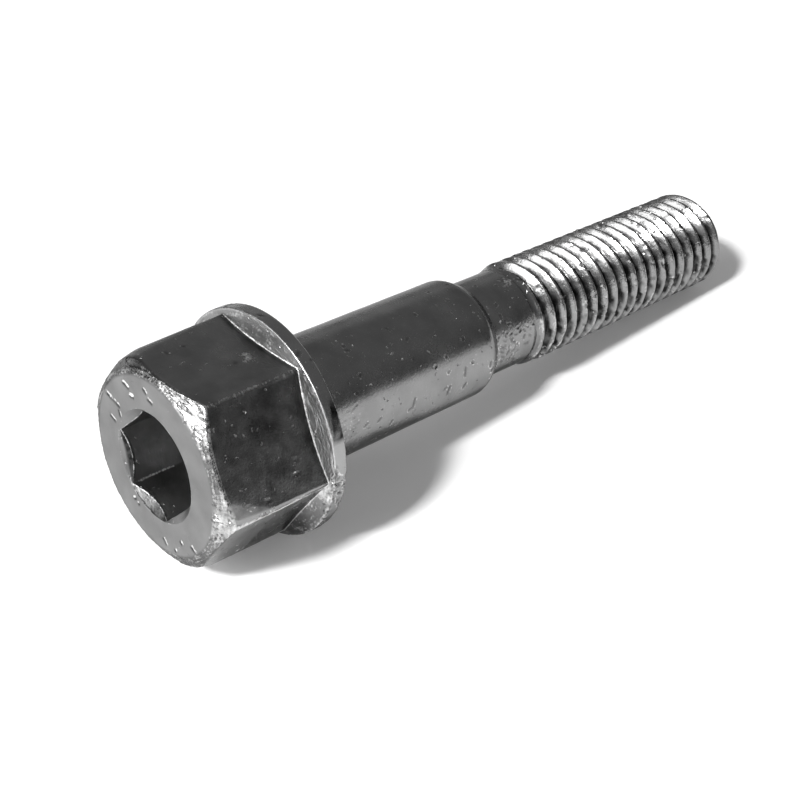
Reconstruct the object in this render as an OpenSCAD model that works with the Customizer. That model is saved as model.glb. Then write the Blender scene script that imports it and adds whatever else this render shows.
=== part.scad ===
// Flanged hexagon head screw with a hexagon socket, plain shoulder and coarse metric thread
// It lies as it comes to rest on a flat surface, on the rim of its flange and a crest near its tip
// The origin is under the middle of the screw, +X runs from the head to the tip, +Z is up

/* [Outer hexagon] */
// Width across the flats of the outer hexagon
hex_af = 16; // [14.8:0.1:16.4]
// Height of the head, from its end face to the bearing face under the flange
head_h = 11; // [8:0.1:14]
// Diameter of the flat end face, where the corner chamfer starts
face_d = 14.9; // [12.5:0.1:15.6]
// Slope of the corner chamfer, away from the end face
chamfer_slope = 30; // [15:1:45]
// Radius of the worn edge between the end face and the chamfer
face_edge_r = 0.35; // [0.1:0.05:0.6]
// Turn of the outer hexagon about the axis, as the screw lies
hex_turn = 34; // [0:1:59]

/* [Socket] */
// Width across the flats of the socket
socket_af = 8; // [5:0.1:9]
// Depth of the socket's flats below the end face
socket_depth = 6; // [4:0.1:6.5]
// Diameter of the countersink at the socket's mouth
mouth_d = 9.4; // [8.4:0.1:10.4]
// Slope of the countersink, down from the end face
mouth_slope = 40; // [20:1:55]
// Full angle of the drilled cone at the socket's bottom
drill_angle = 120; // [100:1:150]
// Turn of the socket against the outer hexagon
socket_turn = 9; // [0:1:59]

/* [Flange] */
// Outside diameter of the flange
flange_d = 19.4; // [19:0.1:24]
// Height of the flange's upright rim
rim_h = 1.25; // [0.8:0.05:2]
// Slope of the flange's upper face
flange_slope = 16; // [8:1:25]
// Radius of the rim's upper edge
rim_top_r = 0.12; // [0.05:0.01:0.3]
// Radius of the rim's lower edge
rim_low_r = 0.2; // [0.05:0.01:0.3]
// Radius of the fillet between the bearing face and the shoulder
underhead_r = 0.6; // [0.3:0.05:1]

/* [Shoulder and neck] */
// Diameter of the plain shoulder
shoulder_d = 11; // [10.4:0.05:12]
// Length of the shoulder with its tapered end, from the bearing face
shoulder_l = 21.9; // [12:0.1:24]
// Length of the tapered end of the shoulder
taper_l = 0.95; // [0.4:0.05:2]
// Diameter of the small end of the taper
taper_d = 10; // [9.7:0.05:10.2]
// Radius of the edge where the shoulder turns into the taper
taper_edge_r = 1.2; // [0.4:0.1:2]
// Diameter of the neck, which is the blank that the thread is rolled on
neck_d = 9.03; // [8.8:0.01:9.3]
// Radius of the fillet between the neck and the shoulder's end
neck_fillet_r = 0.3; // [0.1:0.05:0.4]

/* [Thread] */
// Outside diameter over the thread's crests
thread_d = 9.85; // [9.73:0.01:9.97]
// Diameter at the thread's root
root_d = 8.16; // [8.05:0.01:8.4]
// Advance of the thread in one turn
pitch = 1.5; // [1.25:0.05:1.75]
// Width of the flat on each crest
crest_flat = 0.2; // [0.1:0.01:0.3]
// Full angle between the two flanks of a groove
flank_angle = 60; // [55:1:60]
// Length under the head, from the bearing face to the tip
screw_l = 56.2; // [50:0.1:70]
// Length of the thread with its run-out, measured back from the tip
thread_l = 28.9; // [20:0.1:31]
// Length over which the thread rises out of the neck
runout_l = 1.7; // [1.5:0.1:5]
// Depth of the 45 degree chamfer on the tip
tip_chamfer = 0.9; // [0.6:0.05:1.2]
// Turn of the thread about the axis, as the screw lies
thread_turn = 331; // [0:1:359]

/* [Hidden] */
// Facets round each turned form, round the helix, and in each small edge radius
turned_sides = 120;
helix_sides = 36;
arc_steps = 6;
// Clearance by which a cutting body passes the face that it cuts
cut_through = 1;
// The thread starts this much inside the neck's skin, so that no edge stands proud
skin = 0.015;
// The blank runs on under the thread as a core, this many pitches long
core_pitches = 2;

hexagon_corners = 6;
hex_r = hex_af / 2 / cos(180 / hexagon_corners);
socket_r = socket_af / 2 / cos(180 / hexagon_corners);
face_r = face_d / 2;
flange_r = flange_d / 2;
shoulder_r = shoulder_d / 2;
taper_r = taper_d / 2;
neck_r = neck_d / 2;
crest_r = thread_d / 2;
root_r = root_d / 2;
core_r = root_r - pitch / 2;
tip_r = crest_r - tip_chamfer;
drill_r = socket_af / 2;
drill_h = drill_r / tan(drill_angle / 2);
mouth_r = mouth_d / 2;
mouth_end_r = drill_r / 2;
mouth_h = (mouth_r - mouth_end_r) * tan(mouth_slope);

// Stations along the axis, from the end face of the head at zero to the tip
rim_top_z = head_h - rim_h;
flange_eye_z = rim_top_z - flange_r * tan(flange_slope);
chamfer_z = (hex_r - face_r) * tan(chamfer_slope);
shoulder_end_z = head_h + shoulder_l;
tip_z = head_h + screw_l;
thread_z = tip_z - thread_l;
core_end_z = thread_z + core_pitches * pitch;

// One pitch of the groove and its crest, as stations and radii from the middle of a groove
flank_w = (crest_r - root_r) * tan(flank_angle / 2);
root_flat = pitch - crest_flat - 2 * flank_w;
groove_z = [-root_flat / 2, root_flat / 2, root_flat / 2 + flank_w, pitch - root_flat / 2 - flank_w];
groove_r = [root_r, root_r, crest_r, crest_r];
groove_rows = len(groove_z);
thread_phase = pitch * thread_turn / 360;

// The screw rests on the lower edge of the flange and on the last full crest that faces down
down_crest_z = thread_phase + root_flat / 2 + flank_w + crest_flat;
last_crest = floor((tip_z - tip_chamfer - down_crest_z) / pitch);
rest_z = down_crest_z + last_crest * pitch;
rim_centre_z = head_h - rim_low_r;
rim_centre_r = flange_r - rim_low_r;
rest_run = rest_z - rim_centre_z;
rest_drop = rim_centre_r - crest_r;
lean = atan2(rest_drop, rest_run) + asin(rim_low_r / norm([rest_run, rest_drop]));
axis_height = crest_r * cos(lean) + rest_z * sin(lean);
reach_back = (face_r - face_edge_r * tan(chamfer_slope / 2)) * sin(lean);
reach_front = tip_z * cos(lean) + tip_r * sin(lean);
mid_x = (reach_front - reach_back) / 2;

// Rounds one corner of an outline with an arc between its two sides
function rounded(before, corner, after, r) =
    let(
        u = (before - corner) / norm(before - corner),
        v = (after - corner) / norm(after - corner),
        half = acos(u * v) / 2,
        toward = (u + v) / norm(u + v),
        centre = corner + toward * r / sin(half),
        first = corner + u * r / tan(half) - centre,
        side = sign(u[0] * v[1] - u[1] * v[0]),
        sweep = side * (180 - 2 * half)
    )
    [for (i = [0:arc_steps]) centre + turned(first, -sweep * i / arc_steps)];

function turned(p, a) = [p[0] * cos(a) - p[1] * sin(a), p[0] * sin(a) + p[1] * cos(a)];

// Station of the flange's upper face at a radius
function flange_top(r) = flange_eye_z + r * tan(flange_slope);

// Share of the full thread depth at a station, which grows smoothly over the run-out
function rise(z) =
    let(t = max(0, min(1, (z - thread_z) / runout_l)))
    t * t * (3 - 2 * t);

// Radius of the thread at a station, under the tip's chamfer and out of the neck
function thread_r(z, full_r) =
    let(grown = neck_r - skin + (full_r - neck_r + skin) * rise(z))
    min(grown, tip_r + tip_z - z);

// Row m of the helix at column i, before it is held between the thread's two ends
function helix_z(i, m) =
    thread_phase + pitch * (floor(m / groove_rows) + i / helix_sides) + groove_z[(m + groove_rows * 1000) % groove_rows];

// The head's own hexagon, with the turned chamfer that cuts its corners
module hexagon_head() {
    head_low_z = flange_top(hex_r) + skin;
    intersection() {
        rotate(hex_turn)
            cylinder(r = hex_r, h = head_low_z, $fn = hexagon_corners);
        rotate_extrude($fn = turned_sides)
            polygon(concat(
                [[0, 0]],
                rounded([0, 0], [face_r, 0], [hex_r, chamfer_z], face_edge_r),
                [[hex_r + cut_through, chamfer_z + cut_through * tan(chamfer_slope)],
                 [hex_r + cut_through, head_h],
                 [0, head_h]]
            ));
    }
}

// The blind hexagon socket with its countersunk mouth and the cone that the drill left
module socket_cut() {
    rotate(hex_turn + socket_turn)
        translate([0, 0, -cut_through])
            cylinder(r = socket_r, h = socket_depth + cut_through, $fn = hexagon_corners);
    translate([0, 0, -cut_through])
        cylinder(
            r1 = mouth_r + cut_through / tan(mouth_slope),
            r2 = mouth_end_r,
            h = mouth_h + cut_through,
            $fn = turned_sides
        );
    translate([0, 0, socket_depth])
        cylinder(r1 = drill_r, r2 = 0, h = drill_h, $fn = turned_sides);
}

// Flange, shoulder, taper and neck, turned in one outline that ends in the thread's core
module turned_body() {
    flange_eye = [0, flange_top(0)];
    rim_top = [flange_r, rim_top_z];
    rim_low = [flange_r, head_h];
    underhead = [shoulder_r, head_h];
    taper_start = [shoulder_r, shoulder_end_z - taper_l];
    taper_end = [taper_r, shoulder_end_z];
    neck_start = [neck_r, shoulder_end_z];
    neck_end = [neck_r, thread_z];
    rotate_extrude($fn = turned_sides)
        polygon(concat(
            [flange_eye],
            rounded(flange_eye, rim_top, rim_low, rim_top_r),
            rounded(rim_top, rim_low, underhead, rim_low_r),
            rounded(rim_low, underhead, taper_start, underhead_r),
            rounded(underhead, taper_start, taper_end, taper_edge_r),
            [taper_end],
            rounded(taper_end, neck_start, neck_end, neck_fillet_r),
            [neck_end],
            [[core_r, thread_z], [core_r, core_end_z], [0, core_end_z]]
        ));
}

// The rolled right-hand thread: one closed skin whose rows follow the helix
module rolled_thread() {
    turns = ceil(thread_l / pitch) + 2;
    first_row = groove_rows * (floor((thread_z - thread_phase) / pitch) - 2);
    row_count = groove_rows * (turns + 2);
    low_row = [for (i = [0:helix_sides - 1])
        max([for (m = [0:row_count]) if (helix_z(i, first_row + m) <= thread_z) m])];
    high_row = [for (i = [0:helix_sides - 1])
        min([for (m = [0:row_count]) if (helix_z(i, first_row + m) >= tip_z) m])];
    points = [for (i = [0:helix_sides - 1]) for (m = [0:row_count])
        let(
            z = max(thread_z, min(tip_z, helix_z(i, first_row + m))),
            full_r = groove_r[m % groove_rows],
            r = m <= low_row[i] ? neck_r - skin : (m >= high_row[i] ? tip_r : thread_r(z, full_r)),
            a = 360 * i / helix_sides
        )
        [r * cos(a), r * sin(a), z]];
    columns = [for (i = [0:helix_sides]) i % helix_sides];
    function at(i, m) =
        let(
            column = columns[i],
            row = i == helix_sides ? m + groove_rows : m
        )
        column * (row_count + 1) + max(low_row[column], min(high_row[column], row));
    function is_whole(f) = f[0] != f[1] && f[1] != f[2] && f[2] != f[0];
    skin_faces = [for (i = [0:helix_sides - 1]) for (m = [0:row_count - 1])
        for (f = [
            [at(i, m), at(i, m + 1), at(i + 1, m + 1)],
            [at(i, m), at(i + 1, m + 1), at(i + 1, m)]
        ]) if (is_whole(f)) f];
    start_face = [for (i = [0:helix_sides - 1]) at(i, 0)];
    tip_face = [for (i = [helix_sides - 1:-1:0]) at(i, row_count)];
    polyhedron(points, concat(skin_faces, [start_face], [tip_face]), convexity = 10);
}

// Lays the upright screw down on its flange and its thread
module lay_down() {
    translate([-mid_x, 0, axis_height])
        rotate([0, 90 + lean, 0])
            children();
}

module screw() {
    color("silver")
        lay_down()
            union() {
                difference() {
                    union() {
                        hexagon_head();
                        turned_body();
                    }
                    socket_cut();
                }
                rolled_thread();
            }
}

screw();
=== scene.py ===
import math
import random

import bmesh
import bpy
from mathutils import Matrix, Vector, kdtree, noise


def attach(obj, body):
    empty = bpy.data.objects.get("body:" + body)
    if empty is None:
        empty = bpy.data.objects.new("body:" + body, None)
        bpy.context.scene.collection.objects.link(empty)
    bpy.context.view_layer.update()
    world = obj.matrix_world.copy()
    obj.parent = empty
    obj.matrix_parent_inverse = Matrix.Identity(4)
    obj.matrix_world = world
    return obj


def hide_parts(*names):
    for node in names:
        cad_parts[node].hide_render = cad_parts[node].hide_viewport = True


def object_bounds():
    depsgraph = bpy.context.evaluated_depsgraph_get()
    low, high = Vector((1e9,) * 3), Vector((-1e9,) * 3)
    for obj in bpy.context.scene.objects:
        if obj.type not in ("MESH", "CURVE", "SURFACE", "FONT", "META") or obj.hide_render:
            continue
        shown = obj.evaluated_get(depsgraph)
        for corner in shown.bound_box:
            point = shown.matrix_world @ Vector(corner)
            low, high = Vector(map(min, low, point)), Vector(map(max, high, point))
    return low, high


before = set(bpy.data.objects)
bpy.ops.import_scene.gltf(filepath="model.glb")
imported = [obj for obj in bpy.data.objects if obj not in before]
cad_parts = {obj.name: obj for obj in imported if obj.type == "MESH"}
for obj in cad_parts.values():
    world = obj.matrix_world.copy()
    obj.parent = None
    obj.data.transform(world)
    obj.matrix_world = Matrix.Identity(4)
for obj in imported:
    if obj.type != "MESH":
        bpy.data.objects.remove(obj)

cad_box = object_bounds()

# Sizes of the screw in millimetres, along its own axis from the end face at zero
HEX_FLATS = 16.0
HEX_TURN = 34.0
HEAD_HEIGHT = 11.0
HEX_ROUND = 0.2
FACE_RADIUS = 7.45
FACE_ROUND = 0.35
CHAMFER_SLOPE = 30.0
SOCKET_FLATS = 8.0
SOCKET_TURN = 9.0
SOCKET_ROUND = 0.06
SOCKET_DEPTH = 6.0
SOCKET_DRILL = 120.0
MOUTH_RADIUS = 4.7
MOUTH_SLOPE = 40.0
FLANGE_RADIUS = 9.7
FLANGE_SLOPE = 16.0
RIM_HEIGHT = 1.25
RIM_ROUND = 0.2
SHOULDER_RADIUS = 5.5
SHOULDER_END = 32.9
FILLET = 0.6
TAPER_LENGTH = 0.95
TAPER_RADIUS = 5.0
NECK_RADIUS = 4.515
THREAD_START = 38.3
TIP = 67.2
CREST_RADIUS = 4.925
ROOT_RADIUS = 4.08
PITCH = 1.5
CREST_FLAT = 0.2
THREAD_TURN = 331.0
RUNOUT = 1.7
TIP_CHAMFER = 0.9

SIXTH = math.radians(60)
FULL_TURN = math.radians(360)
MM = 0.001
# How far the shank reaches into the head and the thread, and how close two points are to be one
OVERLAP = 0.1
MERGED = 0.0005


def tan_of(degrees):
    return math.tan(math.radians(degrees))


# The screw lies on the flange's lower edge and on the last full crest that faces down
flank_width = (CREST_RADIUS - ROOT_RADIUS) * tan_of(30)
root_flat = PITCH - CREST_FLAT - 2 * flank_width
thread_phase = PITCH * THREAD_TURN / 360
down_crest = thread_phase + root_flat / 2 + flank_width + CREST_FLAT
rest_station = down_crest + math.floor((TIP - TIP_CHAMFER - down_crest) / PITCH) * PITCH
rest_run = rest_station - HEAD_HEIGHT + RIM_ROUND
rest_drop = FLANGE_RADIUS - RIM_ROUND - CREST_RADIUS
lean = math.atan2(rest_drop, rest_run) + math.asin(RIM_ROUND / math.hypot(rest_run, rest_drop))
axis_height = CREST_RADIUS * math.cos(lean) + rest_station * math.sin(lean)
face_inset = FACE_ROUND * tan_of(CHAMFER_SLOPE / 2)
reach_back = (FACE_RADIUS - face_inset) * math.sin(lean)
reach_front = TIP * math.cos(lean) + (CREST_RADIUS - TIP_CHAMFER) * math.sin(lean)
face_middle = Vector((-(reach_front - reach_back) / 2, 0, axis_height)) * MM
lying = math.radians(90) + lean
lay_down = Matrix.Translation(face_middle) @ Matrix.Rotation(lying, 4, "Y") @ Matrix.Scale(MM, 4)

# Wear of the outer hexagon's corners, one after the other round the head:
# rounding at the end face, depth knocked off there, and how far back that goes
CORNER_WEAR = [
    (1.2, 0.4, 2.5), (1.2, 0.3, 2.5), (2.2, 0.8, 3.2),
    (0.5, 0.1, 1.5), (0.4, 0.1, 1.5), (1.5, 0.8, 3.5),
]
# Scuffs along each of those corners: direction and width in degrees, and brightness
CORNER_SCUFF = [
    (34, 3, 0.5), (94, 3, 0.5), (154, 4, 0.3),
    (214, 1.2, 0.5), (277, 1.7, 0.95), (334, 3, 0.7),
]
# Flat knocked on the corner nearest the camera:
# direction, distance from the axis at the end face, and growth of that distance per length
KNOCKED_TURN = 257.0
KNOCKED_DISTANCE = 8.36
KNOCKED_GROWTH = 0.107
# Middles of the hexagon's faces and of the socket's walls that need their own look, in degrees
RIGHT_FACE = 244
LOW_FACE = 304
LEFT_WALL = 73
LOW_WALL = 13


def smooth_share(value):
    value = max(0, min(1, value))
    return value * value * (3 - 2 * value)


def near(distance, width):
    """One on a line, falling to nought beyond a width from it."""
    return math.exp(-(distance / width) ** 2)


def turn_from(angle, degrees):
    """Signed turn in degrees from a direction to an angle in radians."""
    return (math.degrees(angle) - degrees + 180) % 360 - 180


def turn_near(angle, degrees, width):
    """One in a direction, falling to nought beyond a width in degrees from it."""
    return near(turn_from(angle, degrees), width)


def within(angle, degrees, width):
    """Whether an angle is less than a width in degrees from a direction."""
    return abs(turn_from(angle, degrees)) < width


def across_face(angle, degrees, half_width, edge):
    """One across a face in a direction, falling to nought over an edge in degrees."""
    return smooth_share((half_width - abs(turn_from(angle, degrees))) / edge)


def soft_min(first, second, blend):
    """The smaller of two values, blended where they are close."""
    overlap = max(0, blend - abs(first - second)) / blend
    return min(first, second) - overlap * overlap * blend / 4


def hexagon_wall(angle, flats, corner_turn, edge_round):
    """Distance from the axis to a hexagon's wall, whose corners are rounded, at an angle in radians."""
    off = (angle - math.radians(corner_turn) + SIXTH / 2) % SIXTH - SIXTH / 2
    centre = (flats / 2 - edge_round) / math.cos(SIXTH / 2)
    reach = math.atan2(edge_round / 2, centre + edge_round * math.cos(SIXTH / 2))
    if abs(off) < reach:
        return centre * math.cos(off) + math.sqrt(edge_round ** 2 - (centre * math.sin(off)) ** 2)
    return flats / 2 / math.cos(SIXTH / 2 - abs(off))


def new_wall(angle):
    """The outer hexagon's wall before its wear."""
    return hexagon_wall(angle, HEX_FLATS, HEX_TURN, HEX_ROUND)


def nearest_corner(angle):
    return round((math.degrees(angle) - HEX_TURN) / 60) % 6


def worn_hexagon(angle, station):
    """The outer hexagon's wall, whose corners are worn rounder towards the end face."""
    rounding, knock, knock_length = CORNER_WEAR[nearest_corner(angle)]
    share = max(0, 1 - station / flange_top(HEX_FLATS / 2))
    wall = hexagon_wall(angle, HEX_FLATS, HEX_TURN, HEX_ROUND + rounding * share)
    corner = HEX_FLATS / 2 / math.cos(SIXTH / 2)
    limit = corner + 0.3 - (knock + 0.3) * smooth_share(1 - station / knock_length)
    wall = soft_min(wall, limit, 0.25)
    off = turn_from(angle, KNOCKED_TURN)
    if abs(off) > 45:
        return wall
    flat = (KNOCKED_DISTANCE + KNOCKED_GROWTH * station) / math.cos(math.radians(off))
    return soft_min(wall, flat, 0.06)


def flange_top(radius):
    """Station of the flange's cone at a radius."""
    return HEAD_HEIGHT - RIM_HEIGHT - (FLANGE_RADIUS - radius) * tan_of(FLANGE_SLOPE)


def direction_to(start, end):
    """Direction from one point of an outline to another, or nought where they meet."""
    way = end - start
    return way.normalized() if way.length > 1e-6 else Vector((0, 0))


def softened(corners, sides):
    """Points along an outline of (radius, station, rounding, arc steps) corners.

    The sides are the counts of steps between one corner and the next.
    """
    places = [Vector(corner[:2]) for corner in corners]
    arcs = [[places[0]]]
    bends = zip(places, places[1:], places[2:], corners[1:-1])
    for before, corner, after, (_, _, rounding, steps) in bends:
        back = direction_to(corner, before)
        ahead = direction_to(corner, after)
        if not rounding or not back.length or not ahead.length:
            arcs.append([corner] * (steps + 1))
            continue
        half = math.acos(max(-1, min(1, back.dot(ahead)))) / 2
        toward = (back + ahead).normalized()
        centre = corner + toward * rounding / math.sin(half)
        first = corner + back * rounding / math.tan(half) - centre
        turn = (math.pi - 2 * half) * (1 if back.cross(ahead) > 0 else -1)
        arc = []
        for step in range(steps + 1):
            spoke = first.copy()
            spoke.rotate(Matrix.Rotation(-turn * step / steps, 2))
            arc.append(centre + spoke)
        arcs.append(arc)
    arcs.append([places[-1]])
    outline = []
    for arc, following, steps in zip(arcs, arcs[1:], sides):
        outline += arc
        outline += [arc[-1].lerp(following[0], step / steps) for step in range(1, steps)]
    return outline + arcs[-1]


def wrapped(columns, rows, place):
    """A square grid rolled round the axis: place gives the point of a column and a row."""
    bm = bmesh.new()
    bmesh.ops.create_grid(bm, x_segments=columns, y_segments=rows, size=0.5)
    for vert in bm.verts:
        column = round((vert.co.x + 0.5) * columns)
        row = round((vert.co.y + 0.5) * rows)
        vert.co = place(column % columns, row)
    bmesh.ops.remove_doubles(bm, verts=bm.verts, dist=MERGED)
    bmesh.ops.recalc_face_normals(bm, faces=bm.faces)
    bm.normal_update()
    return bm


def on_axis(radius, angle, station):
    """Point at a radius, an angle in radians and a station of the screw's own axis."""
    return Vector((radius * math.cos(angle), radius * math.sin(angle), station))


def around(place):
    """Radius, angle and station of a point."""
    return math.hypot(place.x, place.y), math.atan2(place.y, place.x), place.z


def ripple(place, size):
    """Smooth noise between about -1 and 1, with waves of a size in millimetres."""
    return noise.noise(place / size + Vector((size, 3, 7)))


def roughen(bm, waves):
    """Moves the skin in and out by a sum of waves: (size, height that varies over the skin)."""
    bm.normal_update()
    for vert in bm.verts:
        spot = around(vert.co)
        shift = sum(height(*spot) * ripple(vert.co, size) for size, height in waves)
        vert.co += vert.normal * shift


def paint(bm, **strengths):
    """Stores how worn, grimy, matt, bared or speckled the skin is at each of its points; the worn parts hold
    painted highlights too, the grimy ones painted shade and the bared ones painted sheen.
    """
    layers = [(bm.verts.layers.float.new(name), strength) for name, strength in strengths.items()]
    for vert in bm.verts:
        spot = around(vert.co)
        for layer, strength in layers:
            vert[layer] = max(0, min(1, strength(*spot)))


def press_nicks(bm, nicks, colour="wear", strength=1, lip=0):
    """Presses oblong nicks with raised lips into the skin: (middle, direction, length, width, depth).

    A nick is coloured by its strength, as bright scuffing or as a dark mark that is dirt and painted shade,
    and its lip is scuffed.
    """
    bm.normal_update()
    layer = bm.verts.layers.float[colour]
    wear = bm.verts.layers.float["wear"]
    bm.verts.ensure_lookup_table()
    tree = kdtree.KDTree(len(bm.verts))
    for index, vert in enumerate(bm.verts):
        tree.insert(vert.co, index)
    tree.balance()
    for middle, direction, length, width, depth in nicks:
        _, facing, _ = tree.find(middle)
        normal = bm.verts[facing].normal.copy()
        along = (direction - normal * direction.dot(normal)).normalized()
        for place, index, _ in tree.find_range(middle, length / 2 + width * 2):
            offset = place - middle
            run = offset.dot(along)
            beyond = max(0, abs(run) - max(0, length - width) / 2)
            aside = (offset - along * run).length
            share = math.hypot(beyond, aside) / (width / 2)
            vert = bm.verts[index]
            hollow = near(share, 0.9)
            raised = 0.4 * near(share - 1.4, 0.45)
            vert.co += vert.normal * depth * (raised - hollow)
            vert[layer] = max(vert[layer], strength * near(share, 1.1) * min(1, depth / 0.05))
            vert[wear] = max(vert[wear], lip * near(share - 1.8, 0.45))


def scattered_nicks(bm, seed, count, region, length, width, depth):
    """Nicks at random points of a region of the skin, of sizes between two limits and turned any way."""
    chance = random.Random(seed)
    spots = [vert.co.copy() for vert in bm.verts if region(*around(vert.co))]
    return [(
        chance.choice(spots),
        Vector((chance.uniform(-1, 1), chance.uniform(-1, 1), chance.uniform(-1, 1))),
        chance.uniform(*length), chance.uniform(*width), chance.uniform(*depth)) for _ in range(count)]


def finished(name, bm, material):
    """Turns a mesh made round its own axis into a piece of the lying screw, held within the solid's box."""
    bmesh.ops.transform(bm, matrix=lay_down, verts=bm.verts)
    lowest, highest = cad_box
    for vert in bm.verts:
        limits = zip(lowest, vert.co, highest)
        vert.co = Vector([max(low, min(high, value)) for low, value, high in limits])
    mesh = bpy.data.meshes.new(name)
    bm.to_mesh(mesh)
    bm.free()
    mesh.shade_smooth()
    piece = bpy.data.objects.new(name, mesh)
    bpy.context.scene.collection.objects.link(piece)
    mesh.materials.append(material)
    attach(piece, "root")
    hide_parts("screw")
    return piece


# Steel: bare and satin, with bright scuffs and painted highlights, dark grime and painted shade, painted
# sheen, fine pits and scratches

def add_node(tree, kind, inputs=(), **settings):
    made = tree.nodes.new(kind)
    for key, value in settings.items():
        setattr(made, key, value)
    for key, value in dict(inputs).items():
        if isinstance(value, bpy.types.NodeSocket):
            tree.links.new(value, made.inputs[key])
        else:
            made.inputs[key].default_value = value
    return made


def math_of(tree, operation, first, second, third=0.0, **settings):
    inputs = {0: first, 1: second, 2: third}
    return add_node(tree, "ShaderNodeMath", inputs, operation=operation, **settings).outputs[0]


def stretched(tree, value, low, high, to_low, to_high):
    """A value between two limits, stretched to two others."""
    return add_node(tree, "ShaderNodeMapRange", {
        "Value": value, "From Min": low, "From Max": high,
        "To Min": to_low, "To Max": to_high}).outputs[0]


# Grey of the steel in each state, and its roughness where it is polished most and least
# The grimy grey stands for painted shade too, the bare grey for painted sheen and the bright grey for painted
# highlights
DIRT_AND_SHADE_TONE = 0.02
DARK_TONE = 0.24
PLAIN_TONE = 0.32
BARE_AND_SHEEN_TONE = 0.6
BRIGHT_TONE = 0.8
SMOOTH_POLISH = 0.2
DULL_POLISH = 0.29


def worn_steel():
    material = bpy.data.materials.new("worn_steel")
    material.use_nodes = True
    tree = material.node_tree
    shader = tree.nodes["Principled BSDF"]

    def waves(vector, per_mm, detail):
        settings = {"Vector": vector, "Scale": per_mm, "Detail": detail}
        return add_node(tree, "ShaderNodeTexNoise", settings).outputs[0]

    def mixed(share, first, second):
        return add_node(tree, "ShaderNodeMix", {"Factor": share, "A": first, "B": second}).outputs[0]

    def stored(name):
        return add_node(tree, "ShaderNodeAttribute", attribute_name=name).outputs["Fac"]

    # Place in millimetres along and across the screw's own axis, and unrolled round that axis
    coordinates = add_node(tree, "ShaderNodeTexCoord")
    place = add_node(tree, "ShaderNodeMapping", {
        "Vector": coordinates.outputs["Object"], "Location": face_middle,
        "Rotation": (0, lying, 0), "Scale": (MM, MM, MM)}, vector_type="TEXTURE").outputs[0]
    parts = add_node(tree, "ShaderNodeSeparateXYZ", {0: place})
    turn = math_of(tree, "ARCTAN2", parts.outputs["Y"], parts.outputs["X"])
    across = add_node(tree, "ShaderNodeCombineXYZ", {0: parts.outputs["X"], 1: parts.outputs["Y"]})
    radius = add_node(
        tree, "ShaderNodeVectorMath", {0: across.outputs[0]}, operation="LENGTH").outputs["Value"]
    unrolled = add_node(tree, "ShaderNodeCombineXYZ", {
        0: math_of(tree, "MULTIPLY", radius, 5.0),
        1: math_of(tree, "MULTIPLY", turn, 5.0),
        2: math_of(tree, "MULTIPLY", parts.outputs["Z"], 6.0)}).outputs[0]

    wear = stored("wear")
    speckle = stored("speckle")
    blotches = waves(place, 0.4, 5)
    grain = waves(place, 4.5, 3)
    rub_marks = waves(unrolled, 1.0, 3)

    # Scuffs, and the painted highlights among them, break up where the wear is partial
    grainy = math_of(tree, "MULTIPLY", grain, 0.8)
    broken = math_of(tree, "ADD", grainy, math_of(tree, "MULTIPLY", rub_marks, 0.8))
    scuffs_and_glints = stretched(tree, math_of(tree, "ADD", wear, broken), 1.1, 1.48, 0, 1)

    # Pits of uneven shape sit in some cells of a random pattern, more of them in some patches
    wander = add_node(
        tree, "ShaderNodeTexNoise", {"Vector": place, "Scale": 2.5, "Detail": 1.0}).outputs["Color"]
    uneven = add_node(
        tree, "ShaderNodeVectorMath", {0: wander, 1: (0.5, 0.5, 0.5), 2: place}, operation="MULTIPLY_ADD")
    cells = add_node(
        tree, "ShaderNodeTexVoronoi", {"Vector": uneven.outputs[0], "Scale": 1.8, "Randomness": 1.0})
    pit = stretched(tree, cells.outputs["Distance"], 0.08, 0.24, 1, 0)
    crowding = math_of(tree, "MULTIPLY_ADD", waves(place, 0.3, 2), 0.8, cells.outputs["Color"])
    chosen = stretched(tree, crowding, 1.06, 1.1, 0, 1)
    pits = math_of(tree, "MULTIPLY", pit, chosen)

    tone = stretched(tree, blotches, 0.3, 0.7, DARK_TONE, PLAIN_TONE)
    stains = stretched(tree, waves(place, 1.1, 4), 0.3, 0.7, 0.65, 1.2)
    # Grime and painted shade darken the steel toward the grimy grey
    grime = math_of(tree, "MULTIPLY", stored("grime"), stains, use_clamp=True)
    # Bare metal and painted sheen lighten it
    rubbed_bare = mixed(stored("bare"), tone, BARE_AND_SHEEN_TONE)
    dirtied_and_shaded = mixed(grime, rubbed_bare, DIRT_AND_SHADE_TONE)
    bright = mixed(scuffs_and_glints, dirtied_and_shaded, BRIGHT_TONE)
    tree.links.new(bright, shader.inputs["Base Color"])
    shader.inputs["Specular Tint"].default_value = (0.45, 0.45, 0.45, 1)

    polish = stretched(tree, blotches, 0.3, 0.7, SMOOTH_POLISH, DULL_POLISH)
    dulled = math_of(tree, "MULTIPLY_ADD", stored("matt"), 0.25, polish)
    rubbed = math_of(tree, "MULTIPLY_ADD", scuffs_and_glints, 0.16, dulled)
    rough = math_of(tree, "MULTIPLY_ADD", pits, 0.2, rubbed)
    tree.links.new(rough, shader.inputs["Roughness"])
    shader.inputs["Metallic"].default_value = 1

    # Heights in millimetres
    relief = math_of(tree, "MULTIPLY_ADD", speckle, 0.09, 0.003)
    marks = math_of(tree, "MULTIPLY", math_of(tree, "ADD", grain, rub_marks), relief)
    sunk = math_of(tree, "MULTIPLY_ADD", pits, -0.05, marks)
    skin = add_node(tree, "ShaderNodeBump", {"Strength": 1.0, "Distance": MM, "Height": sunk})
    tree.links.new(skin.outputs[0], shader.inputs["Normal"])
    return material


steel = worn_steel()

# Head: socket, end face, chamfer, hexagon, flange and bearing face in one outline that changes round the axis

SECTOR_COLUMNS = 72
HEAD_COLUMNS = SECTOR_COLUMNS * 6
CORNER_CROWDING = 0.75
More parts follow.
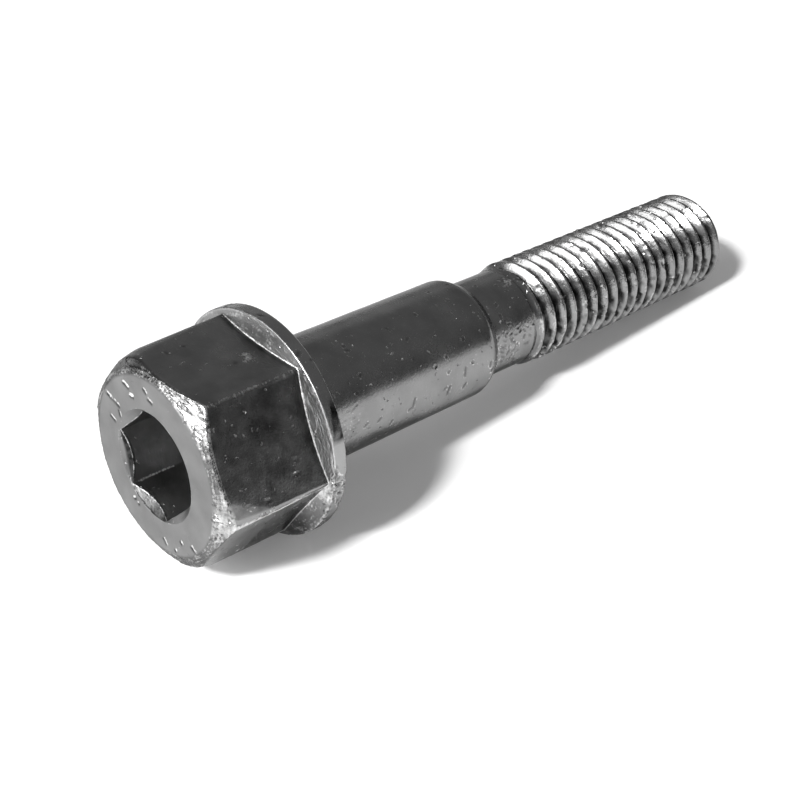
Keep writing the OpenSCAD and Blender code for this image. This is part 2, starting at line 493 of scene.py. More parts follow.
# Radii past which lie the outer hexagon's wall, the flange's rim and the side of that rim
WALL_FROM = 7.9
RIM_FROM = 9.5
RIM_SIDE_FROM = 9.6


def head_angle(column):
    """Angle of a column, with the columns crowded towards the hexagon's corners."""
    sector, step = divmod(column, SECTOR_COLUMNS)
    share = step / SECTOR_COLUMNS
    share -= CORNER_CROWDING * math.sin(FULL_TURN * share) / FULL_TURN
    return math.radians(HEX_TURN) + SIXTH * (sector + share)


# The socket's columns turn a little, so that one of them lies in each of its corners
socket_corner = math.radians(HEX_TURN + SOCKET_TURN)
socket_shift = min((socket_corner - head_angle(c) for c in range(SECTOR_COLUMNS)), key=abs)
HEAD_SIDES = [10, 3, 26, 8, 26, 14, 44, 14, 8, 26]


def socket_wall(angle):
    return hexagon_wall(angle, SOCKET_FLATS, HEX_TURN + SOCKET_TURN, SOCKET_ROUND)


def mouth_depth(angle):
    """Station at which the round mouth meets the socket's wall."""
    return (MOUTH_RADIUS - socket_wall(angle)) * tan_of(MOUTH_SLOPE)


def head_outline(column):
    angle = head_angle(column)
    wall = new_wall(angle)
    socket = socket_wall(angle + socket_shift)
    drill = SOCKET_FLATS / 2
    outline = softened([
        (0, SOCKET_DEPTH + drill / tan_of(SOCKET_DRILL / 2), 0, 0),
        (drill, SOCKET_DEPTH, 0, 1),
        (socket, SOCKET_DEPTH, 0, 1),
        (socket, mouth_depth(angle + socket_shift), 0.05, 2),
        (MOUTH_RADIUS, 0, 0.06, 3),
        (FACE_RADIUS, 0, FACE_ROUND, 6),
        (wall, (wall - FACE_RADIUS) * tan_of(CHAMFER_SLOPE), 0.12, 4),
        (wall, flange_top(wall), 0.15, 5),
        (FLANGE_RADIUS, HEAD_HEIGHT - RIM_HEIGHT, 0.12, 4),
        (FLANGE_RADIUS, HEAD_HEIGHT, RIM_ROUND, 5),
        (0, HEAD_HEIGHT, 0, 0),
    ], HEAD_SIDES)
    hexagon_end = flange_top(HEX_FLATS / 2) - 0.2
    return [(min(point.x, worn_hexagon(angle, point.y)) if point.y < hexagon_end else point.x, point.y)
            for point in outline]


def on_chamfer(radius, station):
    """One on the hexagon's chamfer and nought away from it."""
    past = station - (radius - FACE_RADIUS) * tan_of(CHAMFER_SLOPE)
    return smooth_share((radius - FACE_RADIUS + 0.2) / 0.25) * smooth_share((0.28 - past) / 0.2)


def from_edge(radius, station, edge_radius, edge_station):
    """Distance from an edge that runs round the axis."""
    return math.hypot(radius - edge_radius, station - edge_station)


def smooth_corner(radius, angle):
    """One on the upper left corner's chamfer, worn smooth beyond a band along the end face."""
    return smooth_share((radius - FACE_RADIUS - 0.4) / 0.2) * turn_near(angle, 160, 34)


def on_hexagon(radius, wall):
    """Whether a point is on the outer hexagon's wall or its chamfer."""
    return (radius > wall - 0.3) * (radius < wall + 0.03)


def head_wear(radius, angle, station):
    wall = new_wall(angle)
    scuff_turn, scuff_width, scuff = CORNER_SCUFF[nearest_corner(angle)]
    patches = 0.75 + 0.5 * ripple(on_axis(radius, angle, station), 0.8)
    streaked = 0.75 + 1.0 * ripple(Vector((radius * 2.5, math.degrees(angle) * 0.09, station)), 0.8)
    patches += (streaked - patches) * on_chamfer(radius, station) * turn_near(angle, 213, 14)
    chamfer = 0.42 + 0.22 * turn_near(angle, 211, 13) + 0.12 * turn_near(angle, 276, 8)
    chamfer *= 1 - smooth_corner(radius, angle) * (1 - turn_near(angle, 211, 13))
    rough_cone = 0.34 + 0.12 * turn_near(angle, 230, 14) + 0.3 * turn_near(angle, 281, 6)
    mouth_edge = 0.75 - 0.15 * turn_near(angle, LEFT_WALL, 28)
    rim = 0.55 + 0.35 * turn_near(angle, 220, 35)
    on_cone = near(station - flange_top(radius), 0.05) * (radius > wall - 0.1)
    on_wall = (radius > WALL_FROM) * (station > 0.8) * (station < flange_top(wall))
    scratched = 0.55 * near(station - 7.6, 0.9) * turn_near(angle, 193, 6) * on_wall
    socket_corner_scuff = 0.75 * turn_near(angle, 43, 1.5) * (radius < MOUTH_RADIUS) * (0.3 < station < 4)
    key_marks = 0.3 * turn_near(angle, 22, 14) * (radius < MOUTH_RADIUS) * near(station - 1.2, 0.9)

    def on_edge(edge_radius, edge_station, width):
        return near(from_edge(radius, station, edge_radius, edge_station), width)

    return max(
        on_chamfer(radius, station) * chamfer * patches,
        # A painted highlight along the hexagon's foot on the flange
        0.85 * on_edge(wall, flange_top(wall), 0.07),
        rim * on_edge(FLANGE_RADIUS, HEAD_HEIGHT - RIM_HEIGHT, 0.1) * patches,
        0.7 * on_edge(FLANGE_RADIUS, HEAD_HEIGHT, 0.12) * patches,
        0.35 * on_edge(MOUTH_RADIUS, 0, 0.07) * patches,
        mouth_edge * on_edge(socket_wall(angle), mouth_depth(angle), 0.05) * patches,
        socket_corner_scuff * patches,
        key_marks * patches,
        scuff * turn_near(angle, scuff_turn, scuff_width) * on_wall * patches,
        scratched * patches,
        rough_cone * on_cone * patches)


def head_speckle(radius, angle, station):
    if station < 0.02:
        return 0.03
    if radius < MOUTH_RADIUS and station > 0.8:
        return 0.08
    wall = new_wall(angle)
    flange = 0.35 * near(station - flange_top(radius), 0.06) * (radius > wall)
    chamfer = on_chamfer(radius, station) * (1 - 0.9 * smooth_corner(radius, angle))
    lower_mouth = 0.35 * turn_near(angle, LOW_WALL, 26) * (radius < MOUTH_RADIUS) * (station < 0.8)
    chamfer *= 0.7 - 0.45 * turn_near(angle, 213, 15) - 0.25 * turn_near(angle, 250, 15)
    face = 0.08 - 0.05 * across_face(angle, RIGHT_FACE, 29.5, 1.5)
    return max(chamfer, flange, lower_mouth, face)


def head_grime(radius, angle, station):
    wall = new_wall(angle)
    # Darker in a band on the hexagon's wall just above the flange
    beside_junction = near(station - flange_top(wall) + 0.35, 0.14) * near(radius - wall, 0.1)
    in_socket = (radius < MOUTH_RADIUS) * (0 < station < HEAD_HEIGHT - 1)
    # Painted shade deeper in the socket, more on its left wall
    depths = 0.25 * smooth_share((station - 0.6) / 3)
    depths += 0.3 * turn_near(angle, LEFT_WALL, 30) * near(station - 1.5, 2.5)
    # Painted shade over the mouth's left and lower parts
    down_mouth = station / max(0.05, mouth_depth(angle))
    left_mouth = 0.95 * across_face(angle, LEFT_WALL, 31, 3) * smooth_share((down_mouth - 0.4) / 0.15)
    lower_mouth = 0.88 * across_face(angle, LOW_WALL, 30, 3)
    in_mouth = (station < 0.7) * (down_mouth < 1.1)
    chamfer = 0.45 - 0.45 * turn_near(angle, 211, 15) - 0.35 * turn_near(angle, 278, 15)
    # Painted shade low on the flange, on its side toward the floor
    low_cone = 0.6 * turn_near(angle, 318, 28) * (radius > wall - 0.05) * (station > 5)
    # Painted shade over the hexagon's right face, mottled
    right_face = across_face(angle, RIGHT_FACE, 29.5, 1.5) * on_hexagon(radius, wall)
    right_face *= smooth_share((station - (radius - FACE_RADIUS) * tan_of(CHAMFER_SLOPE) - 0.1) / 0.2)
    on_flat = smooth_share((wall - worn_hexagon(angle, station) - 0.02) / 0.02)
    place = on_axis(radius, angle, station)
    blotch = ripple(place, 1.4) + 0.6 * ripple(place, 0.6)
    right_face *= 0.56 - 0.04 * on_flat - 0.12 * near(station - 2.2, 1.2) + 0.2 * blotch
    # A painted shadow in a wedge on the flange's rim beside the shoulder
    wedge = 0.95 * smooth_share((station - 10.5 + 0.035 * turn_from(angle, 231)) / 0.15) * (radius > RIM_FROM)
    wedge *= smooth_share(turn_from(angle, 231) / 5) * smooth_share(turn_from(angle, 254) / -3)
    return max(
        0.6 * beside_junction, in_socket * max(depths, in_mouth * left_mouth, in_mouth * lower_mouth),
        on_chamfer(radius, station) * chamfer, low_cone, right_face, wedge)


def head_bare(radius, angle, station):
    wall = new_wall(angle)
    patches = 0.3 * turn_near(angle, 216, 16) + 0.95 * turn_near(angle, 277, 11)
    chamfer = on_chamfer(radius, station) * patches
    # Painted sheen on one side of the flange's cone
    cone = 0.75 * turn_near(angle, 247, 32) * near(station - flange_top(radius), 0.1) * (radius > wall)
    # Painted reflection lightening the hexagon's low face
    on_low_face = across_face(angle, LOW_FACE, 29, 2) * on_hexagon(radius, wall)
    low_face = on_low_face * (0.5 + 0.15 * near(station - 6, 3)) * (station > 0.7)
    # Painted sheen over the flange's rim
    rim = 0.25 * (radius > RIM_FROM)
    return max(chamfer, cone, low_face, rim)


def head_matt(radius, angle, station):
    on_face = smooth_share((0.06 - station) / 0.04)
    return max(on_face, 0.5 * (radius < MOUTH_RADIUS), 0.3 * near(station - flange_top(radius), 0.1))


# Plain nicks of the end face: radius, angle and turn in degrees, length, width and depth
FACE_NICKS = [
    (6.8, 123, 106, 0.9, 0.26, 0.10), (5.9, 126, 105, 1.1, 0.14, 0.05), (6.7, 150, 104, 0.9, 0.26, 0.10),
    (5.8, 153, 81, 0.6, 0.30, 0.09), (6.5, 173, 127, 0.6, 0.16, 0.06), (5.9, 178, 106, 0.7, 0.16, 0.06),
    (5.6, 109, 110, 0.8, 0.20, 0.08), (5.0, 122, 160, 0.6, 0.14, 0.04), (6.5, 349, 140, 0.7, 0.16, 0.06),
    (6.9, 338, 122, 0.3, 0.28, 0.08), (6.2, 327, 128, 0.4, 0.26, 0.08), (6.9, 315, 118, 0.7, 0.18, 0.06),
    (5.3, 33, 57, 0.4, 0.22, 0.06), (5.3, 27, 57, 0.3, 0.20, 0.05),
]


def make_head():
    outlines = [head_outline(c) for c in range(HEAD_COLUMNS)]

    def place(column, row):
        radius, station = outlines[column][row]
        inside = smooth_share((FACE_RADIUS - 0.5 - radius) / 2)
        return on_axis(radius, head_angle(column) + socket_shift * inside, station)

    bm = wrapped(HEAD_COLUMNS, len(outlines[0]) - 1, place)
    paint(bm, wear=head_wear, speckle=head_speckle, grime=head_grime, matt=head_matt, bare=head_bare)
    nicks = [(
        on_axis(radius, math.radians(angle), 0), on_axis(1, math.radians(turn), 0), length, width, depth)
        for radius, angle, turn, length, width, depth in FACE_NICKS]
    # Painted shadows beside the end face's nicks, each set off to one side
    beside = Vector((0, 0, 0.2))
    painted_nick_shadows = [
        (middle + along.cross(beside), along, length, 0.2, 0.05) for middle, along, length, _, _ in nicks]
    # Dark nicks of the faces, of the whole chamfer and of its bare patch
    dark_nicks = scattered_nicks(
        bm, seed=3, count=60, region=lambda r, a, s: r > WALL_FROM and 0.8 < s < 9.4,
        length=(0.2, 0.6), width=(0.16, 0.24), depth=(0.02, 0.05))
    dark_nicks += scattered_nicks(
        bm, seed=8, count=50, region=lambda r, a, s: on_chamfer(r, s) > 0.9,
        length=(0.2, 0.7), width=(0.14, 0.2), depth=(0.03, 0.07))
    dark_nicks += scattered_nicks(
        bm, seed=9, count=26, region=lambda r, a, s: on_chamfer(r, s) > 0.9 and within(a, 278, 14),
        length=(0.3, 0.7), width=(0.16, 0.24), depth=(0.04, 0.08))
    # A wavering dark line down the corner that is scuffed most
    for step in range(17):
        angle = math.radians(276.3 + 1.3 * math.sin(7 * step))
        dark_nicks.append((on_axis(9.05, angle, 1.2 + 0.37 * step), Vector((0, 0, 1)), 0.5, 0.24, 0.06))
    # Streaks along the chamfer's bright patch, in lanes from its inner to its outer edge
    for step in range(15):
        lane = step % 7
        middle = on_axis(7.9 + 0.14 * lane, math.radians(199 + 1.7 * step), 0.26 + 0.08 * lane)
        along = on_axis(1, math.radians(289 + 6 * math.sin(5 * step)), 0.1)
        dark_nicks.append((middle, along, 1.6 + 0.7 * math.sin(3 * step), 0.2, 0.06))
    # Bright and dark nicks of the flange's rim, which is smoother toward 235 degrees
    nicks += scattered_nicks(
        bm, seed=5, count=14,
        region=lambda r, a, s: RIM_SIDE_FROM < r and s < HEAD_HEIGHT and abs(turn_from(a, 235)) > 25,
        length=(0.3, 0.9), width=(0.2, 0.3), depth=(0.03, 0.05))
    dark_nicks += scattered_nicks(
        bm, seed=6, count=50,
        region=lambda r, a, s: RIM_SIDE_FROM < r and s < HEAD_HEIGHT and abs(turn_from(a, 235)) > 20,
        length=(0.3, 0.9), width=(0.2, 0.35), depth=(0.03, 0.06))
    dark_nicks += scattered_nicks(
        bm, seed=7, count=44, region=lambda r, a, s: RIM_FROM < r and s < HEAD_HEIGHT and within(a, 286, 24),
        length=(0.3, 0.9), width=(0.18, 0.26), depth=(0.03, 0.07))

    def chewed(radius, angle, station):
        spared = 1 - 0.8 * turn_near(angle, 211, 16)
        return 0.045 * on_chamfer(radius, station) * spared * (1 - smooth_corner(radius, angle))

    roughen(bm, [
        (3.0, lambda r, a, s: 0.012 if s > 0.05 or r < MOUTH_RADIUS else 0.003),
        (0.7, lambda r, a, s: 0.05 * (r > RIM_FROM) * turn_near(a, 290, 34)),
        (0.35, chewed)])
    press_nicks(bm, nicks)
    # Painted shadows of the end face's nicks
    press_nicks(bm, painted_nick_shadows, "grime", 1)
    press_nicks(bm, dark_nicks, "grime", 0.7, 0.4)
    return finished("screw_head", bm, steel)


# Shank: fillet under the head, shoulder, taper and neck

SHANK_COLUMNS = 300
# Within this radius lie only the shank's ends, which the head and the thread cover
COVERED_RADIUS = 4

# Dents of the shoulder and of the neck:
# station, angle and turn from the axis in degrees, length, width and depth
SHANK_NICKS = [
    (24.9, 247, 60, 0.4, 0.25, 0.05), (26.3, 257, 30, 0.4, 0.2, 0.04), (28.3, 264, 85, 1.0, 0.24, 0.06),
    (29.2, 258, 0, 0.3, 0.3, 0.08), (28.4, 279, 60, 0.7, 0.26, 0.06), (26.4, 276, 75, 1.0, 0.26, 0.06),
    (25.9, 272, 20, 0.5, 0.22, 0.05), (22.2, 272, 80, 1.1, 0.24, 0.05), (21.8, 277, 30, 0.5, 0.22, 0.05),
    (19.8, 283, 70, 0.7, 0.24, 0.05), (18.3, 273, 40, 0.6, 0.22, 0.05), (16.8, 272, 30, 0.6, 0.22, 0.05),
    (31.5, 268, 80, 0.6, 0.26, 0.06), (32.1, 283, 70, 0.8, 0.3, 0.08), (31.8, 275, 50, 0.5, 0.26, 0.06),
    (28.7, 234, 60, 0.3, 0.25, 0.06), (22.9, 233, 40, 0.3, 0.2, 0.04), (17.2, 228, 40, 0.4, 0.2, 0.04),
    (34.6, 250, 40, 0.5, 0.26, 0.05), (35.3, 259, 60, 0.5, 0.26, 0.05), (35.9, 268, 30, 0.5, 0.24, 0.05),
    (34.9, 274, 60, 0.6, 0.26, 0.05), (36.4, 253, 45, 0.5, 0.24, 0.05), (36.9, 262, 60, 0.5, 0.26, 0.05),
]


def on_side(radius, station, start, end):
    """Whether a point of the shank's skin lies between two stations."""
    return radius > COVERED_RADIUS and start < station < end


def shank_wear(radius, angle, station):
    patches = 0.75 + 0.5 * ripple(on_axis(radius, angle, station), 1.2)
    streaks = near(station - 14.7, 1.3) * turn_near(angle, 265, 14)
    chewed = turn_near(angle, 290, 35) * near(station - SHOULDER_END, 0.12) * (radius > NECK_RADIUS + 0.2)
    return max(0.2 * streaks * patches, 0.75 * chewed * patches, 0.12 * patches)


def shank_speckle(radius, angle, station):
    scuffed_neck = smooth_share((station - SHOULDER_END - 0.3) / 1) * turn_near(angle, 275, 32)
    streaks = near(station - 14.5, 1.8) * turn_near(angle, 265, 16)
    return 0.05 + 0.14 * scuffed_neck + 0.2 * streaks


# Painted shade in the corner of the step down to the neck and over the upper side of its taper
def shank_grime(radius, angle, station):
    upper_taper = 0.85 * turn_near(angle, 195, 45) * near(station - SHOULDER_END + 0.35, 0.5)
    upper_taper *= radius > NECK_RADIUS + 0.2
    return max(0.6 * near(from_edge(radius, station, NECK_RADIUS, SHOULDER_END), 0.25), upper_taper)


def make_shank():
    outline = softened([
        (0, HEAD_HEIGHT - OVERLAP, 0, 0),
        (SHOULDER_RADIUS + FILLET + 0.02, HEAD_HEIGHT - OVERLAP, 0, 1),
        (SHOULDER_RADIUS + FILLET, HEAD_HEIGHT, 0, 1),
        (SHOULDER_RADIUS, HEAD_HEIGHT, FILLET, 8),
        (SHOULDER_RADIUS, SHOULDER_END - TAPER_LENGTH, 1.2, 8),
        (TAPER_RADIUS, SHOULDER_END, 0.05, 2),
        (NECK_RADIUS, SHOULDER_END, 0.3, 6),
        (NECK_RADIUS, THREAD_START + OVERLAP, 0, 1),
        (0, THREAD_START + OVERLAP, 0, 0),
    ], [6, 1, 1, 190, 8, 3, 50, 4])

    def place(column, row):
        radius, station = outline[row]
        return on_axis(radius, FULL_TURN * column / SHANK_COLUMNS, station)

    bm = wrapped(SHANK_COLUMNS, len(outline) - 1, place)
    paint(bm, wear=shank_wear, speckle=shank_speckle, grime=shank_grime)
    nicks = []
    for station, degrees, turn, length, width, depth in SHANK_NICKS:
        angle = math.radians(degrees)
        radius = SHOULDER_RADIUS if station < SHOULDER_END else NECK_RADIUS
        round_it = on_axis(1, angle + math.radians(90), 0)
        direction = Vector((0, 0, math.cos(math.radians(turn)))) - round_it * math.sin(math.radians(turn))
        nicks.append((on_axis(radius, angle, station), direction, length, width, depth))
    nicks += scattered_nicks(
        bm, seed=11, count=34, region=lambda r, a, s: on_side(r, s, 15.5, SHOULDER_END),
        length=(0.2, 0.5), width=(0.2, 0.26), depth=(0.02, 0.04))
    nicks += scattered_nicks(
        bm, seed=13, count=26, region=lambda r, a, s: on_side(r, s, SHOULDER_END, THREAD_START),
        length=(0.2, 0.5), width=(0.18, 0.24), depth=(0.02, 0.04))

    def scuffed_neck(radius, angle, station):
        return on_side(radius, station, SHOULDER_END + 0.4, THREAD_START) and within(angle, 272, 26)

    neck_nicks = scattered_nicks(
        bm, seed=23, count=44, region=scuffed_neck,
        length=(0.3, 0.7), width=(0.2, 0.26), depth=(0.02, 0.04))
    # Nicks of the step down to the neck
    nicks += scattered_nicks(
        bm, seed=29, count=9,
        region=lambda r, a, s: r > 4.9 and SHOULDER_END - 0.7 < s < SHOULDER_END and within(a, 276, 18),
        length=(0.3, 0.6), width=(0.22, 0.28), depth=(0.04, 0.08))
    # Streaks beside the flange, combed along the shank
    combed = [(
        middle, on_axis(0.25, math.radians(162), 1) + swerve * 0.2, length, width, depth)
        for middle, swerve, length, width, depth in scattered_nicks(
            bm, seed=43, count=30, region=lambda r, a, s: on_side(r, s, 14, 16) and within(a, 264, 15),
            length=(0.4, 1.2), width=(0.18, 0.22), depth=(0.01, 0.03))]
    # Bright nicks of the neck, beside the flange and just before the thread
    streaks = combed[1::2] + scattered_nicks(
        bm, seed=31, count=8, region=scuffed_neck,
        length=(0.3, 0.6), width=(0.2, 0.26), depth=(0.02, 0.05))
    streaks += scattered_nicks(
        bm, seed=37, count=9, region=lambda r, a, s: on_side(r, s, 14, 17.5) and within(a, 231, 5),
        length=(0.2, 0.7), width=(0.2, 0.26), depth=(0.02, 0.04))
    streaks += scattered_nicks(
        bm, seed=41, count=16,
        region=lambda r, a, s: on_side(r, s, THREAD_START - 1.2, THREAD_START) and within(a, 192, 8),
        length=(0.2, 0.6), width=(0.18, 0.26), depth=(0.04, 0.08))
    roughen(bm, [
        (3.5, lambda r, a, s: 0.012 * (r > COVERED_RADIUS)),
        (1.1, lambda r, a, s: 0.003 * (r > COVERED_RADIUS))])
    press_nicks(bm, nicks, "grime", 0.6, 0.45)
    press_nicks(bm, neck_nicks + combed[::2], "grime", 0.7, 0.25)
    press_nicks(bm, streaks, "wear", 0.6)
    return finished("screw_shank", bm, steel)


# Thread: one pitch of the groove spun along its helix, trimmed at both ends,
# then drawn into the neck and the tip

THREAD_COLUMNS = 192
# Station and length over which the crests' wear and painted highlight fade toward the tip
FADE_START = 52
FADE_LENGTH = 12
# Deep nicks of the crests: angle in degrees, station, direction, length, width and depth
CREST_NICKS = [
    (213, 46.5, (0.3, 0, 1), 0.9, 0.4, 0.16),
    (228, 46.2, (1, 0.2, 0.4), 1.2, 0.3, 0.12),
    (186, 42.9, (0, 0.4, 1), 0.5, 0.4, 0.16),
    (250, 57.2, (1, 0, 0.2), 1.2, 0.3, 0.1),
]
CREST_NICK_RADIUS = 4.92


def groove_outline():
    """One pitch from the middle of a crest to the next, as (radius, station), its root and crests rounded."""
    half = PITCH / 2
    crest = CREST_FLAT / 2
    root = half - crest - flank_width
    return softened([
        (CREST_RADIUS, -half, 0, 0),
        (CREST_RADIUS, -half + crest, 0.1, 3),
        (ROOT_RADIUS, -root, 0.19, 4),
        (ROOT_RADIUS, root, 0.19, 4),
        (CREST_RADIUS, half - crest, 0.1, 3),
        (CREST_RADIUS, half, 0, 0),
    ], [1, 3, 1, 3, 1])


def spun_groove():
    """The groove's skin over all its turns, cut flat at both ends and left open there."""
    bm = bmesh.new()
    turns = math.ceil((TIP - THREAD_START) / PITCH) + 3
    first_groove = thread_phase + PITCH * (math.floor((THREAD_START - thread_phase) / PITCH) - 1)
    for radius, station in groove_outline():
        bm.verts.new((radius, 0, first_groove + station))
    bm.verts.ensure_lookup_table()
    for before, after in zip(bm.verts[:-1], bm.verts[1:]):
        bm.edges.new((before, after))
    bmesh.ops.spin(
        bm, geom=bm.verts[:] + bm.edges[:], cent=(0, 0, 0), axis=(0, 0, 1),
        dvec=(0, 0, PITCH / THREAD_COLUMNS), angle=FULL_TURN, steps=THREAD_COLUMNS, use_merge=False)
    one_turn = bm.verts[:] + bm.edges[:] + bm.faces[:]
    for turn in range(1, turns):
        copied = bmesh.ops.duplicate(bm, geom=one_turn)["geom"]
        moved = [part for part in copied if isinstance(part, bmesh.types.BMVert)]
        bmesh.ops.translate(bm, verts=moved, vec=(0, 0, PITCH * turn))
    bmesh.ops.remove_doubles(bm, verts=bm.verts, dist=MERGED)
    for station, side in ((THREAD_START, -1), (TIP, 1)):
        bmesh.ops.bisect_plane(
            bm, geom=bm.verts[:] + bm.edges[:] + bm.faces[:], dist=0.00001,
            plane_co=(0, 0, station), plane_no=(0, 0, side), clear_outer=True)
    return bm


def make_thread():
    bm = spun_groove()
    depth = CREST_RADIUS - ROOT_RADIUS

    def run_in(station):
        return smooth_share((station - THREAD_START) / RUNOUT)

    def toward_tip(station):
        return smooth_share((station - FADE_START) / FADE_LENGTH)

    # Worn crests, brightened further by a painted highlight that fades toward the tip
    def wear(radius, angle, station):
        patches = 0.7 + 0.7 * ripple(on_axis(radius, angle, station), 1.1)
        on_crest = smooth_share((radius - CREST_RADIUS + 0.12) / 0.1)
        return (0.12 + (0.28 - 0.1 * toward_tip(station)) * on_crest) * patches

    # Dirt and painted shade in the grooves, reaching higher on the low side
    def grime(radius, angle, station):
        low_side = turn_near(angle, 285, 36)
        uneven = ripple(on_axis(radius, angle, station), 0.7)
        edge = 0.6 - 0.4 * low_side + (0.14 + 0.16 * low_side) * uneven
        sunk = (CREST_RADIUS - radius) / depth
        at_tip = 0.6 * smooth_share((station - TIP + TIP_CHAMFER + 0.1) / 0.3)
        return max(at_tip, 0.97 * smooth_share((sunk - edge) / 0.14) * run_in(station))

    # Painted sheen over the thread, weaker on the low side and fading toward the tip
    def bare(radius, angle, station):
        fading = 1 - 0.8 * toward_tip(station)
        return (0.26 - 0.16 * turn_near(angle, 290, 45)) * run_in(station) * fading

    def speckle(radius, angle, station):
        return 0.13

    paint(bm, wear=wear, speckle=speckle, grime=grime, bare=bare)
    tip_radius = CREST_RADIUS - TIP_CHAMFER
    for vert in bm.verts:
        radius, angle, station = around(vert.co)
        flat_crest = CREST_RADIUS - 0.05 * max(0, ripple(vert.co, 1.6))
        grown = NECK_RADIUS - 0.01 + (min(radius, flat_crest) - NECK_RADIUS + 0.01) * run_in(station)
        vert.co = on_axis(min(grown, tip_radius + TIP - station), angle, station)
    open_edges = [edge for edge in bm.edges if edge.is_boundary]
    ends = bmesh.ops.holes_fill(bm, edges=open_edges, sides=0)["faces"]
    bmesh.ops.recalc_face_normals(bm, faces=bm.faces)
    bmesh.ops.inset_individual(bm, faces=ends, thickness=0.12)
    for name, strength in (("wear", 0.1), ("grime", 0.15), ("speckle", 0.1), ("bare", 0)):
        layer = bm.verts.layers.float[name]
        for vert in [vert for face in ends for vert in face.verts]:
            vert[layer] = strength
    nicks = [(
        on_axis(CREST_NICK_RADIUS, math.radians(angle), station), Vector(direction), length, width, depth)
        for angle, station, direction, length, width, depth in CREST_NICKS]
    nicks += scattered_nicks(
        bm, seed=17, count=70, region=lambda r, a, s: r > CREST_RADIUS - 0.1 and s < TIP - 1,
        length=(0.2, 0.6), width=(0.2, 0.3), depth=(0.03, 0.08))
    dark_nicks = scattered_nicks(
        bm, seed=19, count=160, region=lambda r, a, s: r > CREST_RADIUS - 0.3 and s < TIP - 1,
        length=(0.3, 0.9), width=(0.2, 0.3), depth=(0.03, 0.08))

    def on_skin(radius, angle, station):
        return (radius > ROOT_RADIUS - 0.1) * smooth_share((station - THREAD_START) / 0.5)

    roughen(bm, [
        (1.6, lambda r, a, s: 0.04 * on_skin(r, a, s)),
        (0.6, lambda r, a, s: (0.012 + 0.03 * turn_near(a, 285, 40)) * on_skin(r, a, s))])
    press_nicks(bm, nicks, "wear", 0.8)
    press_nicks(bm, dark_nicks, "grime", 0.6, 0.4)
    return finished("screw_thread", bm, steel)


make_head()
make_shank()
make_thread()

# Floor, room, lights and camera

FLOOR_HALF_WIDTH = 2.0
AIM_HEIGHT = 0.008


def make_floor():
    bm = bmesh.new()
    bmesh.ops.create_grid(bm, x_segments=1, y_segments=1, size=FLOOR_HALF_WIDTH)
    mesh = bpy.data.meshes.new("floor")
    bm.to_mesh(mesh)
    bm.free()
    floor = bpy.data.objects.new("floor", mesh)
    bpy.context.scene.collection.objects.link(floor)
    material = bpy.data.materials.new("floor_white")
    material.use_nodes = True
    tree = material.node_tree
    shader = tree.nodes["Principled BSDF"]
    shader.inputs["Base Color"].default_value = (0.9, 0.9, 0.9, 1)
    shader.inputs["Roughness"].default_value = 0.9
    shader.inputs["Specular IOR Level"].default_value = 0
    # White to the camera and in reflections, and its own colour close to the screw, which keeps the shadow
    path = add_node(tree, "ShaderNodeLightPath").outputs
    seen = math_of(tree, "MAXIMUM", path["Is Camera Ray"], path["Is Glossy Ray"])
    through = math_of(tree, "MAXIMUM", seen, path["Is Transmission Ray"])
    place = add_node(tree, "ShaderNodeTexCoord").outputs["Object"]
    away = add_node(tree, "ShaderNodeVectorMath", {0: place}, operation="LENGTH").outputs["Value"]
    level = stretched(tree, away, 0.1, 0.6, 0.12, 1.0)
    shader.inputs["Emission Color"].default_value = (1, 1, 1, 1)
    tree.links.new(math_of(tree, "MULTIPLY", through, level), shader.inputs["Emission Strength"])
    mesh.materials.append(material)


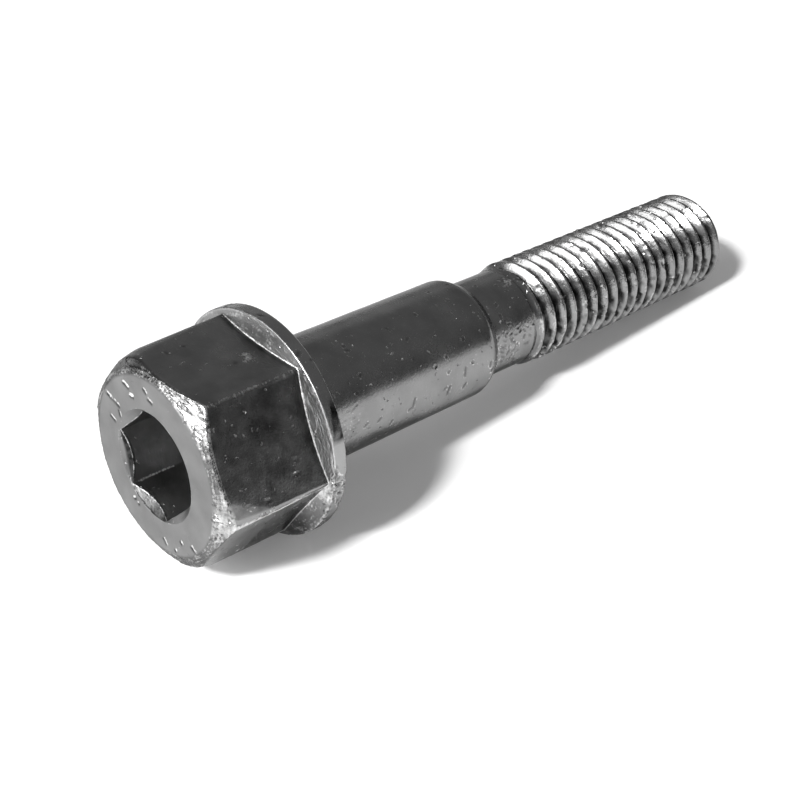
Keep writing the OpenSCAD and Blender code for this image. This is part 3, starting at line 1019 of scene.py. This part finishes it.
def make_world():
    world = bpy.data.worlds.new("room")
    bpy.context.scene.world = world
    world.use_nodes = True
    tree = world.node_tree
    tree.nodes.clear()
    coordinates = add_node(tree, "ShaderNodeTexCoord").outputs["Generated"]
    height = add_node(tree, "ShaderNodeSeparateXYZ", {0: coordinates}).outputs["Z"]
    level = stretched(tree, height, 0.1, 0.6, 0.11, 0.19)
    # A brighter, low part of the room behind the screw
    behind = add_node(
        tree, "ShaderNodeVectorMath", {0: coordinates, 1: (0.72, 0.69, 0)},
        operation="DOT_PRODUCT").outputs["Value"]
    facing = stretched(tree, behind, 0.6, 0.9, 0, 0.3)
    low = stretched(tree, height, 0.35, 0.5, 1, 0)
    lit = math_of(tree, "MULTIPLY_ADD", facing, low, level)
    room = add_node(tree, "ShaderNodeBackground", {"Color": lit, "Strength": 1.0}).outputs[0]
    white = add_node(tree, "ShaderNodeBackground", {"Color": (1, 1, 1, 1), "Strength": 1.0}).outputs[0]
    to_camera = add_node(tree, "ShaderNodeLightPath").outputs["Is Camera Ray"]
    mix = add_node(tree, "ShaderNodeMixShader", {0: to_camera, 1: room, 2: white})
    add_node(tree, "ShaderNodeOutputWorld", {"Surface": mix.outputs[0]})


def add_softbox(name, azimuth, elevation, distance, size, watts):
    """A lamp that faces the screw, at angles in degrees and a distance in metres from it."""
    lamp = bpy.data.lights.new(name, "AREA")
    lamp.shape = "RECTANGLE"
    lamp.size = size[0]
    lamp.size_y = size[1]
    lamp.energy = watts
    softbox = bpy.data.objects.new(name, lamp)
    across = distance * math.cos(math.radians(elevation))
    softbox.location = (
        across * math.cos(math.radians(azimuth)),
        across * math.sin(math.radians(azimuth)),
        distance * math.sin(math.radians(elevation)))
    aim = Vector((0, 0, AIM_HEIGHT)) - softbox.location
    softbox.rotation_euler = aim.to_track_quat("-Z", "Y").to_euler()
    bpy.context.scene.collection.objects.link(softbox)


make_floor()
make_world()
add_softbox("key_softbox", azimuth=189, elevation=43.7, distance=1.5, size=(0.16, 0.16), watts=28)
add_softbox("side_softbox", azimuth=163, elevation=30, distance=1.0, size=(0.9, 0.32), watts=4.3)

# Camera fitted to the photo: focal length in millimetres, place in metres, tilt and turn in degrees
lens = bpy.data.cameras.new("camera")
lens.lens = 62.44
lens.sensor_width = 36
lens.clip_start = 0.005
camera = bpy.data.objects.new("camera", lens)
camera.location = (-0.07631, -0.07266, 0.07644)
camera.rotation_euler = (math.radians(54.12), 0, math.radians(-43.38))
bpy.context.scene.collection.objects.link(camera)
bpy.context.scene.camera = camera
bpy.context.scene.view_settings.view_transform = "Standard"
